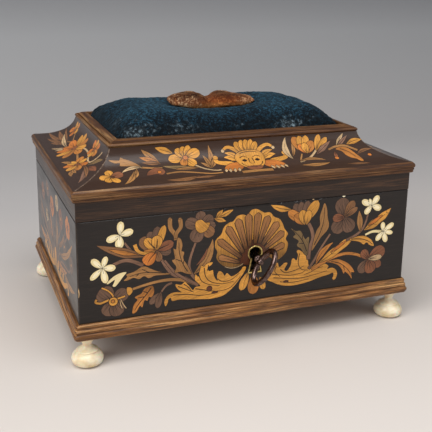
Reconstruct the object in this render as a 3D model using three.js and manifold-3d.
// Sewing box on turned feet: ebonised and inlaid wood, reeded mouldings, a coved lid hinged at the
// back with a velvet pincushion on top, and a key in the lock.
// Millimetres, +Z up, the front towards -Y. The origin is on the ground, under the middle of the whole.
import * as THREE from "three";
import { mergeVertices } from "three/addons/utils/BufferGeometryUtils.js";
import Module from "manifold-3d";

const wasm = await Module();
wasm.setup();

// Body of the box, over the veneer and without the mouldings
const bodyWidth = 236;
const bodyDepth = 168.6;
const wallThickness = 7;
const wallShown = 67; // from the base moulding up to the lid
const bottomThickness = 6;

// Base moulding, planted on the outside of the walls and the bottom board
const baseHeight = 10.1;
const baseProjection = 4;
const baseTopLedge = 1.1;
const baseReeds = 3;
const reedDepth = 0.45;
const reedSteps = 5;

// Turned feet
const footHeight = 19.9;
const footRadius = 10.3;
const footCollarRadius = 6.5;
const footNeckRadius = 3;
const footFlangeRadius = 7;
const footSoleRadius = 6;
const footInset = 6; // from both body faces to the foot's axis
const footSides = 20;

// Lid: upright band, projecting lip, hollow cove, and the frame round the pincushion
const bandHeight = 12.6;
const lipHeight = 7.5;
const lipProjection = 2.9;
const lipTopSetback = 1.8;
const lipReedDepth = 0.27;
const coveRise = 18.15;
const coveRun = 27.7;
const coveFootOverhang = 6;
const coveInnerEdge = 8;
const coveSeat = 7;
const coveSteps = 12;
const frameWidth = 7.4;
const frameHeight = 4.3;
const frameBead = 2.4;
const topBoardThickness = 5;

// Pincushion and the tuft sewn into its middle
const cushionGap = 0.3;
const crownAtEnds = 16.2; // above the frame's inner edge
const crownAtSides = 11.5;
const cushionCorner = 14; // exponent of the rounded rectangle of its plan
const cushionSides = 40;
const tuftLength = 75;
const tuftWidth = 31;
const tuftCorner = 3; // exponent of the rounded rectangle of its plan
const tuftPull = 7; // how deep the sewing draws the velvet down
const tuftLobe = 8.6; // what the lobes rise above the velvet in front
const tuftWaistAside = -4; // the pinched waist between the lobes, from the middle
const tuftWaist = 9; // half-length of the pinch
const tuftDip = 3.4;
const tuftPinch = 0.3; // share of the width lost at the waist
const tuftFall = 13; // how far the right lobe falls away to its end

// Keyhole, its brass lining and the lock behind it
const keyholeAside = 1.1; // to the right of the middle
const keyholeDrop = 33.6; // from the lid's seam down to the keyhole's round centre
const liningRadius = 5.3;
const liningTail = 14;
const liningTailHalf = 5.1;
const liningWaistHalf = 3.3;
const liningWaistDrop = 4.4;
const liningRim = 1;
const liningDepth = 3;
const liningProud = 0.3;
const fitGap = 0.3;
const cutMargin = 1; // how far a cut runs past the faces it opens
const lockWidth = 44;
const lockDepth = 9;
const lockBelowKeyhole = 14;
const lockPitDepth = 6.4;
const lockPitRoom = 1.5; // round the bit's sweep

// Catch plate in the lid, with a tongue that drops into the lock
const catchWidth = 20;
const catchPlate = 3;
const catchRise = 10;
const tongueWidth = 8;
const tongueThickness = 2;
const tongueReach = 6;
const tongueClearance = 1;
const tongueRoot = 1; // how far the tongue runs up beside the plate
const tongueFootRoom = 2; // under the tongue, in the lock's slot

// Key, loose enough in its hole to hang a little
const shankRadius = 1.9;
const shankInside = 11.5;
const keyAside = 0.5;
const keySag = 1.8;
const keyDroop = THREE.MathUtils.degToRad(13);
const keyTurn = THREE.MathUtils.degToRad(27);
const bowReach = 14; // from the body's face to the middle of the bow
const bowWidth = 28.6;
const bowLength = 18.4;
const bowWire = 1.6;
const collarRadius = 3;
const collarBehindBow = 0.6; // from the bow's inner edge to the collar's middle
const shankIntoBow = 0.5;
const bitHeight = 7.5;
const bitWidth = 3.4;
const bitThickness = 1.8;
const bitEnd = 0.8; // of the shank left beyond the bit

// Butt hinges at the back
const hingeInset = 46; // from the body's sides to the middle of each hinge
const leafWidth = 26;
const leafThickness = 1;
const leafDepth = 5.5;
const barrelRadius = 2.2;
const barrelStandoff = 0.3;
const pinRadius = 1;
const hingePlay = 0.3;

// Levels above the ground
const baseTop = footHeight + baseHeight;
const wallFoot = footHeight + bottomThickness;
const seam = baseTop + wallShown;
const lipFoot = seam + bandHeight;
const coveFoot = lipFoot + lipHeight;
const frameFoot = coveFoot + coveRise;
const frameTop = frameFoot + frameHeight;
const keyholeLevel = seam - keyholeDrop;

// Insets from the body's faces
const frameInner = coveRun + frameWidth;
const boardInset = coveRun + coveSeat;
const halfWidth = bodyWidth / 2;
const halfDepth = bodyDepth / 2;
const hingeAxis = halfDepth + barrelStandoff + barrelRadius;
const { lerp } = THREE.MathUtils;

function finish(color, roughness, metalness = 0) {
  return new THREE.MeshStandardMaterial({ color, roughness, metalness });
}

const finishes = {
  ebonised: () => finish(0x1d1a19, 0.38),
  mouldingWood: () => finish(0x6d452c, 0.42),
  bandWood: () => finish(0x2c211c, 0.4),
  coveWood: () => finish(0x4a372a, 0.42),
  plainWood: () => finish(0x7a5a3c, 0.7),
  bone: () => finish(0xe9dcc0, 0.35),
  brass: () => finish(0xc3a55a, 0.35, 0.9),
  steel: () => finish(0x3a3330, 0.4, 0.85),
  blueVelvet: () => finish(0x10222f, 0.95),
  copperVelvet: () => finish(0x8a4720, 0.95),
};

function part(name, geometry, material) {
  const mesh = new THREE.Mesh(geometry, material());
  mesh.name = name;
  return mesh;
}

// A closed geometry as a solid that can be joined and cut
function toSolid(geometry) {
  const bare = geometry.clone();
  bare.deleteAttribute("normal");
  bare.deleteAttribute("uv");
  const merged = mergeVertices(bare, 1e-4);
  return new wasm.Manifold(
    new wasm.Mesh({
      numProp: 3,
      vertProperties: merged.attributes.position.array,
      triVerts: new Uint32Array(merged.index.array),
    }),
  );
}

function toGeometry(solid) {
  const mesh = solid.getMesh();
  const geometry = new THREE.BufferGeometry();
  geometry.setAttribute("position", new THREE.BufferAttribute(mesh.vertProperties, 3));
  geometry.setIndex(new THREE.BufferAttribute(mesh.triVerts, 1));
  geometry.computeVertexNormals();
  return geometry;
}

// A box between two corners
function block(low, high) {
  const size = high.map((value, axis) => value - low[axis]);
  const middle = high.map((value, axis) => (value + low[axis]) / 2);
  return new THREE.BoxGeometry(...size).translate(...middle);
}

// A round bar along X, centred on the given point
function barAlongX(radius, length, x, y, z) {
  return new THREE.CylinderGeometry(radius, radius, length, 16).rotateZ(Math.PI / 2).translate(x, y, z);
}

// The four sides of the box: how each strip is turned from the front one
const sides = [
  { name: "front", turn: 0, length: bodyWidth, reach: halfDepth },
  { name: "right", turn: Math.PI / 2, length: bodyDepth, reach: halfWidth },
  { name: "back", turn: Math.PI, length: bodyWidth, reach: halfDepth },
  { name: "left", turn: -Math.PI / 2, length: bodyDepth, reach: halfWidth },
];

// One strip along a side, with its ends mitred. Its section is [inset from the body's face, height].
function mitredStrip(section, side) {
  const outline = new THREE.Shape(section.map(([inset, height]) => new THREE.Vector2(inset, height)));
  const strip = new THREE.ExtrudeGeometry(outline, { depth: 1, steps: 1, bevelEnabled: false });
  const place = strip.attributes.position;
  for (let i = 0; i < place.count; i++) {
    const inset = place.getX(i);
    const along = (2 * place.getZ(i) - 1) * (side.length / 2 - inset);
    place.setXYZ(i, along, inset - side.reach, place.getY(i));
  }
  return strip;
}

// Four mitred strips that go round the box
function surround(name, section, material, cut = (strip) => strip) {
  return sides.map((side) => {
    const strip = part(`${name}_${side.name}`, cut(mitredStrip(section, side), side.name), material);
    strip.rotation.z = side.turn;
    return strip;
  });
}

// Rounded ridges down a moulding's face, from its upper to its lower edge
function reeds(upper, lower, count, depth) {
  const points = [];
  for (let i = 0; i <= count * reedSteps; i++) {
    const t = i / (count * reedSteps);
    const ridge = Math.abs(Math.sin(Math.PI * t * count));
    points.push([lerp(upper[0], lower[0], t) - depth * ridge, lerp(upper[1], lower[1], t)]);
  }
  return points;
}

// Keyhole outline round its centre: a circle above a flaring tail. grow moves it outwards.
function keyholeOutline(grow) {
  const radius = liningRadius + grow;
  const waist = liningWaistHalf + grow;
  const waistAngle = -Math.acos(waist / radius);
  const outline = new THREE.Shape();
  outline.absarc(0, 0, radius, waistAngle, Math.PI - waistAngle, false);
  outline.lineTo(-waist, -liningWaistDrop);
  outline.lineTo(-liningTailHalf - grow, -liningTail - grow);
  outline.lineTo(liningTailHalf + grow, -liningTail - grow);
  outline.lineTo(waist, -liningWaistDrop);
  return outline;
}

// A keyhole-shaped prism whose front is at y = front and which runs depth towards +Y
function keyholePrism(outline, front, depth) {
  return new THREE.ExtrudeGeometry(outline, { depth, bevelEnabled: false, curveSegments: 14 })
    .rotateX(Math.PI / 2)
    .translate(keyholeAside, front + depth, keyholeLevel);
}

// Room in the top of the back wall, or the foot of the lid's back band, for the hinge leaves
function leafBlock(x, bottom) {
  return block(
    [x - leafWidth / 2, -halfDepth, bottom],
    [x + leafWidth / 2, leafDepth - halfDepth, bottom + leafThickness],
  );
}

// Sides as one faces the front: this side is turned right round, so its left is at +X
const hingePlaces = [
  { name: "left", x: halfWidth - hingeInset },
  { name: "right", x: hingeInset - halfWidth },
];

function cutForLeaves(strip, bottom) {
  let solid = toSolid(strip);
  for (const { x } of hingePlaces) {
    const room = leafBlock(x, bottom).translate(0, -cutMargin, 0);
    solid = solid.subtract(toSolid(room)).subtract(toSolid(leafBlock(x, bottom)));
  }
  return toGeometry(solid);
}

function walls() {
  const section = [
    [0, wallFoot],
    [wallThickness, wallFoot],
    [wallThickness, seam],
    [0, seam],
  ];
  const cut = (strip, name) => {
    if (name === "back") return cutForLeaves(strip, seam - leafThickness);
    if (name !== "front") return strip;
    const hole = keyholePrism(
      keyholeOutline(fitGap),
      -halfDepth - cutMargin,
      wallThickness + 2 * cutMargin,
    );
    return toGeometry(toSolid(strip).subtract(toSolid(hole)));
  };
  return surround("wall", section, finishes.ebonised, cut);
}

function bottomBoard() {
  const geometry = block([-halfWidth, -halfDepth, footHeight], [halfWidth, halfDepth, wallFoot]);
  return part("bottom_board", geometry, finishes.plainWood);
}

function baseMoulding() {
  const swell = baseProjection - reedDepth;
  const nose = baseHeight * 0.12;
  const section = [
    [0, baseTop],
    ...reeds([-baseTopLedge, baseTop], [-swell, footHeight + nose], baseReeds, reedDepth),
    [-swell * 0.8, footHeight],
    [0, footHeight],
  ];
  return surround("base_moulding", section, finishes.mouldingWood);
}

// Turned foot: a flattened ball, a collar, a thin neck and a flange under the bottom board.
// Heights are shares of the whole foot, as a turner marks them off.
function feet() {
  const flare = (share) => lerp(footNeckRadius, footFlangeRadius, share);
  const sole = [
    [0, 0],
    [footSoleRadius, 0],
  ];
  const ball = [
    [lerp(footSoleRadius, footRadius, 0.62), 0.04],
    [lerp(footSoleRadius, footRadius, 0.92), 0.11],
    [footRadius, 0.2],
    [lerp(footCollarRadius, footRadius, 0.9), 0.3],
    [lerp(footCollarRadius, footRadius, 0.55), 0.4],
  ];
  const collar = [
    [footCollarRadius * 1.05, 0.46],
    [footCollarRadius, 0.51],
    [lerp(footNeckRadius, footCollarRadius, 0.45), 0.56],
  ];
  const neck = [
    [footNeckRadius, 0.63],
    [footNeckRadius, 0.7],
    [flare(0.3), 0.82],
  ];
  const flange = [
    [footFlangeRadius, 0.94],
    [footFlangeRadius, 1],
    [0, 1],
  ];
  const profile = [...sole, ...ball, ...collar, ...neck, ...flange].map(
    ([radius, height]) => new THREE.Vector2(radius, height * footHeight),
  );
  const corners = [
    ["front_left", -1, -1],
    ["front_right", 1, -1],
    ["back_left", -1, 1],
    ["back_right", 1, 1],
  ];
  return corners.map(([name, x, y]) => {
    const turned = new THREE.LatheGeometry(profile, footSides).rotateX(Math.PI / 2);
    const foot = part(`foot_${name}`, turned, finishes.bone);
    foot.position.set(x * (halfWidth - footInset), y * (halfDepth - footInset), 0);
    return foot;
  });
}

function keyholeLining() {
  const outline = keyholeOutline(0);
  outline.holes.push(keyholeOutline(-liningRim));
  const geometry = keyholePrism(outline, -halfDepth - liningProud, liningDepth + liningProud);
  return part("keyhole_lining", geometry, finishes.brass);
}

// Lock case on the inside of the front wall, with a round pit for the key and a slot for the catch
function lock() {
  const front = wallThickness - halfDepth;
  const pitRadius = bitHeight + keySag + lockPitRoom;
  const caseFoot = keyholeLevel - lockBelowKeyhole;
  const body = block([-lockWidth / 2, front, caseFoot], [lockWidth / 2, front + lockDepth, seam]);
  const pit = new THREE.CylinderGeometry(pitRadius, pitRadius, lockPitDepth + cutMargin, 32);
  pit.translate(keyholeAside, front + (lockPitDepth - cutMargin) / 2, keyholeLevel);
  const slotHalf = tongueWidth / 2 + tongueClearance;
  const slotBack = front + catchPlate + tongueClearance;
  const slot = block(
    [-slotHalf, front - cutMargin, seam - tongueReach - tongueFootRoom],
    [slotHalf, slotBack, seam + cutMargin],
  );
  const solid = toSolid(body).subtract(toSolid(pit)).subtract(toSolid(slot));
  return part("lock", toGeometry(solid), finishes.steel);
}

function lidCatch() {
  const front = wallThickness - halfDepth;
  const plate = block(
    [-catchWidth / 2, front, seam],
    [catchWidth / 2, front + catchPlate, seam + catchRise],
  );
  const tongue = block(
    [-tongueWidth / 2, front + catchPlate - tongueThickness, seam - tongueReach],
    [tongueWidth / 2, front + catchPlate, seam + tongueRoot],
  );
  return part("lid_catch", toGeometry(toSolid(plate).add(toSolid(tongue))), finishes.brass);
}

// Key along its own -Y axis: the bow in front, the bit hanging from the shank's end
function key() {
  const shankFront = bowLength / 2 - bowReach - shankIntoBow;
  const shankLength = shankInside - shankFront;
  const shank = new THREE.CylinderGeometry(shankRadius, shankRadius, shankLength, 14);
  shank.translate(0, (shankInside + shankFront) / 2, 0);
  const collar = new THREE.SphereGeometry(collarRadius, 16, 8).scale(1, 0.55, 1);
  collar.translate(0, bowLength / 2 - bowReach + collarBehindBow, 0);
  const cusp = new THREE.SphereGeometry(bowWire * 1.5, 12, 8).scale(0.7, 1, 1);
  cusp.translate(0, bowLength / 2 - bowReach - 2 * bowWire, 0);
  const bit = block(
    [-bitThickness / 2, shankInside - bitEnd - bitWidth, -bitHeight],
    [bitThickness / 2, shankInside - bitEnd, 0],
  );
  let solid = toSolid(bowRing());
  for (const piece of [shank, collar, cusp, bit]) {
    solid = solid.add(toSolid(piece));
  }
  const mesh = part("key", toGeometry(solid), finishes.steel);
  mesh.rotation.set(keyDroop, keyTurn, 0, "XYZ");
  mesh.position.set(keyholeAside + keyAside, -halfDepth, keyholeLevel - keySag);
  return mesh;
}

// Oval ring of round wire in the plane of the shank
function bowRing() {
  const longRadius = bowWidth / 2 - bowWire;
  const shortRadius = bowLength / 2 - bowWire;
  const ring = new THREE.TorusGeometry(longRadius, bowWire, 10, 32);
  const place = ring.attributes.position;
  for (let i = 0; i < place.count; i++) {
    const sin = place.getY(i) / Math.hypot(place.getX(i), place.getY(i));
    const along = place.getY(i) + sin * (shortRadius - longRadius);
    place.setXYZ(i, -place.getZ(i), along - bowReach, place.getX(i));
  }
  return ring;
}

// Hinge leaves are drawn at the front and turned to the back with the rest of that side
function hinge(place) {
  const third = leafWidth / 3;
  const axis = -hingeAxis;
  const barrel = (length, x) => toSolid(barAlongX(barrelRadius, length, x, axis, seam));
  const tab = (from, to, bottom) =>
    toSolid(block([from, axis, bottom], [to, -halfDepth, bottom + leafThickness]));
  const lowerBottom = seam - leafThickness;
  const outer = third - hingePlay / 2;

  let lower = toSolid(leafBlock(place.x, lowerBottom));
  lower = lower.add(toSolid(barAlongX(pinRadius, leafWidth, place.x, axis, seam)));
  for (const end of [-1, 1]) {
    const tip = place.x + (end * leafWidth) / 2;
    const inner = tip - end * outer;
    lower = lower.add(barrel(outer, (tip + inner) / 2));
    lower = lower.add(tab(Math.min(tip, inner), Math.max(tip, inner), lowerBottom));
  }

  const middle = third / 2 - hingePlay / 2;
  const bore = barAlongX(pinRadius + hingePlay, leafWidth, place.x, axis, seam);
  const upper = toSolid(leafBlock(place.x, seam))
    .add(barrel(2 * middle, place.x))
    .add(tab(place.x - middle, place.x + middle, seam))
    .subtract(toSolid(bore));
  return [
    part(`hinge_${place.name}_box_leaf`, toGeometry(lower), finishes.brass),
    part(`hinge_${place.name}_lid_leaf`, toGeometry(upper), finishes.brass),
  ];
}

function lidBand() {
  const section = [
    [0, seam],
    [wallThickness, seam],
    [wallThickness, lipFoot],
    [0, lipFoot],
  ];
  const cut = (strip, name) => (name === "back" ? cutForLeaves(strip, seam) : strip);
  return surround("lid_band", section, finishes.bandWood, cut);
}

// Lip: a rounded nose over two finer ridges that slope back to the band
function lidLip() {
  const swell = lipProjection - reedDepth;
  const noseTop = coveFoot - lipHeight * 0.12;
  const noseFoot = coveFoot - lipHeight * 0.48;
  const nose = reeds([-swell * 0.85, noseTop], [-swell * 0.95, noseFoot], 1, reedDepth);
  const ridges = reeds([-swell * 0.8, noseFoot - reedDepth], [-swell / 2, lipFoot], 2, lipReedDepth);
  const section = [
    [wallThickness, coveFoot],
    [lipTopSetback - lipProjection, coveFoot],
    ...nose,
    ...ridges,
    [wallThickness, lipFoot],
  ];
  return surround("lid_lip", section, finishes.mouldingWood);
}

// Cove: hollow outside, plain slope inside, with a flat seat on top for the frame
function lidCove() {
  const start = new THREE.Vector2(lipTopSetback - lipProjection, coveFoot);
  const bend = new THREE.Vector2(coveRun * 0.885, coveFoot + coveRise * 0.22);
  const end = new THREE.Vector2(coveRun, frameFoot);
  const face = new THREE.QuadraticBezierCurve(start, bend, end).getPoints(coveSteps);
  const section = [
    ...face.map((point) => [point.x, point.y]),
    [boardInset, frameFoot],
    [boardInset, frameFoot - coveInnerEdge],
    [wallThickness + coveFootOverhang, coveFoot],
  ];
  return surround("lid_cove", section, finishes.coveWood);
}

// Frame round the pincushion: an outer bead, a groove and a rising flat
function topFrame() {
  const bead = frameFoot + frameBead;
  const section = [
    [coveRun, frameFoot],
    [coveRun - reedDepth, frameFoot + frameBead * 0.3],
    [coveRun - reedDepth, frameFoot + frameBead * 0.7],
    [coveRun + reedDepth, bead],
    [coveRun + frameWidth * 0.17, bead - reedDepth],
    [coveRun + frameWidth * 0.24, bead + reedDepth],
    [frameInner - frameWidth * 0.16, frameTop - 0.1],
    [frameInner - frameWidth * 0.06, frameTop],
    [frameInner, frameTop - reedDepth],
    [frameInner, frameFoot],
  ];
  return surround("top_frame", section, finishes.mouldingWood);
}

function topBoard() {
  const halfX = halfWidth - boardInset;
  const halfY = halfDepth - boardInset;
  const geometry = block(
    [-halfX, -halfY, frameFoot - topBoardThickness],
    [halfX, halfY, frameFoot],
  );
  return part("top_board", geometry, finishes.plainWood);
}

// A turned profile whose rings are drawn by a rule: place(radius, angle, stage) gives each point.
// The angles crowd together towards the four corners.
function ringed(profile, place) {
  const points = profile.map(([radius, stage]) => new THREE.Vector2(radius, stage));
  const turned = new THREE.LatheGeometry(points, cushionSides);
  const spot = turned.attributes.position;
  for (let i = 0; i < spot.count; i++) {
    const even = (2 * Math.PI * (Math.floor(i / points.length) % cushionSides)) / cushionSides;
    const { x: radius, y: stage } = points[i % points.length];
    spot.setXYZ(i, ...place(radius, even + Math.sin(4 * even) / 8, stage));
  }
  return turned;
}

// The velvet's level where the sewing starts: high towards the ends, lower towards front and back
function crownLevel(angle) {
  return frameTop + lerp(crownAtSides, crownAtEnds, Math.cos(angle) ** 2);
}

// Rounded rectangle: the point at an angle, with squarer corners as the exponent grows
function roundedPlan(halfX, halfY, exponent, angle) {
  const cos = Math.cos(angle);
  const sin = Math.sin(angle);
  const reach = (Math.abs(cos) ** exponent + Math.abs(sin) ** exponent) ** (-1 / exponent);
  return [halfX * cos * reach, halfY * sin * reach];
}

function cushionPlan(angle) {
  const halfX = halfWidth - frameInner - cushionGap;
  const halfY = halfDepth - frameInner - cushionGap;
  return roundedPlan(halfX, halfY, cushionCorner, angle);
}

// 1 at the waist between the tuft's lobes, fading to 0 away from it
function nearWaist(x) {
  return Math.exp(-(((x - tuftWaistAside) / tuftWaist) ** 2));
}

// Hollow drawn down by the tuft's sewing. share runs from 0 in the middle to 1 at its rim.
function hollowPoint(share, angle) {
  const [x, y] = roundedPlan(tuftLength / 2, tuftWidth / 2, tuftCorner, angle);
  const level = lerp(frameTop + crownAtSides - tuftPull, crownLevel(angle), share ** 2);
  return [share * x, share * y * (1 - tuftPinch * nearWaist(x)), level];
}

// Pincushion: flat under, upright inside the frame, domed above it, with the tuft's hollow
function pincushion() {
  const foot = frameFoot;
  const stages = { under: -2, hollow: 0, dome: 1 };
  const inHollow = [0, 0.4, 0.75, 1];
  const onDome = [0.15, 0.3, 0.45, 0.6, 0.73, 0.84, 0.92, 0.975, 1];
  const profile = [
    [0, stages.under],
    [1, stages.under],
    ...onDome.map((share) => [1 + share, stages.dome]).reverse(),
    ...inHollow.map((share) => [share, stages.hollow]).reverse(),
  ];
  const geometry = ringed(profile, (radius, angle, stage) => {
    const [edgeX, edgeY] = cushionPlan(angle);
    if (stage === stages.under) return [radius * edgeX, radius * edgeY, foot];
    if (stage === stages.hollow) return hollowPoint(radius, angle);
    const share = radius - 1;
    const [rimX, rimY, rimZ] = hollowPoint(1, angle);
    const level = frameTop + (rimZ - frameTop) * Math.max(0, 1 - share ** 2.4) ** 0.55;
    return [lerp(rimX, edgeX, share), lerp(rimY, edgeY, share), level];
  });
  return part("pincushion", geometry, finishes.blueVelvet);
}

// Tuft: two puffed lobes side by side, lying in the hollow
function tuft() {
  const tuftEdge = 0.94; // of the hollow's reach
  const under = [0, 0.4, 0.75, tuftEdge];
  const over = [tuftEdge, 0.8, 0.6, 0.35, 0];
  const profile = [...under.map((share) => [share, -1]), ...over.map((share) => [share, 1]).slice(1)];
  const geometry = ringed(profile, (radius, angle, stage) => {
    const [x, y, floor] = hollowPoint(radius, angle);
    if (stage < 0) return [x, y, floor + cushionGap];
    const fall = tuftFall * Math.max(0, x / (tuftLength / 2)) ** 2;
    const lobes = tuftLobe + tuftPull - tuftDip * nearWaist(x) - fall;
    const puff = Math.max(0, 1 - (radius / tuftEdge) ** 2) ** 0.5;
    return [x, y, floor + cushionGap + Math.max(0, lobes) * puff];
  });
  return part("tuft", geometry, finishes.copperVelvet);
}

const box = new THREE.Group();
const lid = new THREE.Group();
const back = new THREE.Group();
back.rotation.z = Math.PI;
box.add(...walls(), bottomBoard(), ...baseMoulding(), ...feet(), keyholeLining(), lock(), key());
lid.add(...lidBand(), ...lidLip(), ...lidCove(), ...topFrame(), topBoard(), pincushion(), tuft(), lidCatch());
back.add(...hingePlaces.flatMap(hinge));

const sewingBox = new THREE.Group();
sewingBox.add(box, lid, back);
const extent = new THREE.Box3().setFromObject(sewingBox);
sewingBox.position.y = -(extent.min.y + extent.max.y) / 2;

export default sewingBox;
